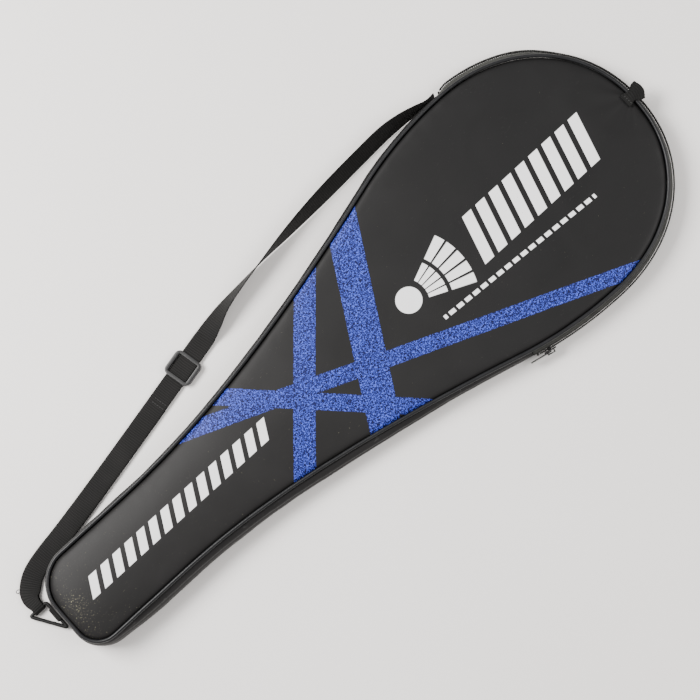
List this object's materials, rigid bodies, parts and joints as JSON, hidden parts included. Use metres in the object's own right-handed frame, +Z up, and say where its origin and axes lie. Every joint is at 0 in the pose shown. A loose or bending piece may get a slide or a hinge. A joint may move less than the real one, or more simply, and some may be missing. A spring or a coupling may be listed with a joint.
{
  "type": "badminton racket in its cover",
  "caption": "Badminton racket zipped into its full-length padded cover, with a head flap that folds open, a zip slider and an adjustable shoulder strap.",
  "frame": {"origin": "flat underside of the cover's back panel, midway along the cover's length and width", "axes": "+X from the handle end to the head tip, +Y towards the shoulder strap, +Z up out of the front panel"},
  "size_m": [0.7505, 0.2688, 0.0368],
  "materials": {
    "vinyl": "matte coated vinyl cloth",
    "welt": "satin vinyl piping",
    "lining": "matte woven nylon",
    "webbing": "ribbed woven nylon",
    "zip_tape": "woven polyester",
    "zip_coil": "nylon coil",
    "zip_metal": "worn dark plating",
    "plastic": "moulded, satin",
    "timber": "bare",
    "grip": "perforated grip wrap",
    "frame_paint": "gloss lacquer on carbon",
    "string": "nylon"
  },
  "bodies": {
    "cover": {"back_panel": "vinyl", "back_lining": "lining", "back_piping": "welt", "front_panel": "vinyl", "front_lining": "lining", "front_piping": "welt", "gusset": "vinyl", "zip_tape_back": "zip_tape", "zip_coil_back": "zip_coil", "zip_bottom_stop": "zip_metal", "zip_top_stop_back": "zip_metal", "shoulder_strap": "webbing", "ring_tab": "webbing", "strap_ring": "plastic", "butt_cap": "plastic", "wooden_handle": "timber", "grip_wrap": "grip", "handle_cone": "plastic", "shaft": "frame_paint", "throat_joint": "frame_paint", "hoop_frame": "frame_paint", "grommet_strip": "plastic", "string_mains": "string", "string_crosses": "string"},
    "head_flap": {"flap_panel": "vinyl", "flap_lining": "lining", "flap_piping": "welt", "zip_tape_front": "zip_tape", "zip_coil_front": "zip_coil", "zip_top_stop_front": "zip_metal", "head_tab": "webbing"},
    "zip_slider": {"zip_slider": "zip_metal"},
    "zip_pull": {"zip_pull": "zip_metal"},
    "adjuster": {"strap_adjuster": "plastic"}
  },
  "joints": [
    {"name": "flap_fold", "type": "hinge", "parent": "cover", "child": "head_flap", "pos_m": [0.224, 0.122, 0.0245], "axis": [-0.3882, -0.9216, 0], "range_deg": [0, 120]},
    {"name": "slider_travel", "type": "hinge", "parent": "cover", "child": "zip_slider", "pos_m": [0.221, 0.263, 0.011], "axis": [0, 0, 1], "range_deg": [0, 14]},
    {"name": "pull_swing", "type": "hinge", "parent": "zip_slider", "child": "zip_pull", "pos_m": [0.13913, -0.1223, 0.011], "axis": [0, 0, 1], "range_deg": [0, 150]},
    {"name": "adjuster_slide", "type": "slide", "parent": "cover", "child": "adjuster", "axis": [0.9781, 0.2083, 0], "range_m": [0, 0.012]}
  ]
}
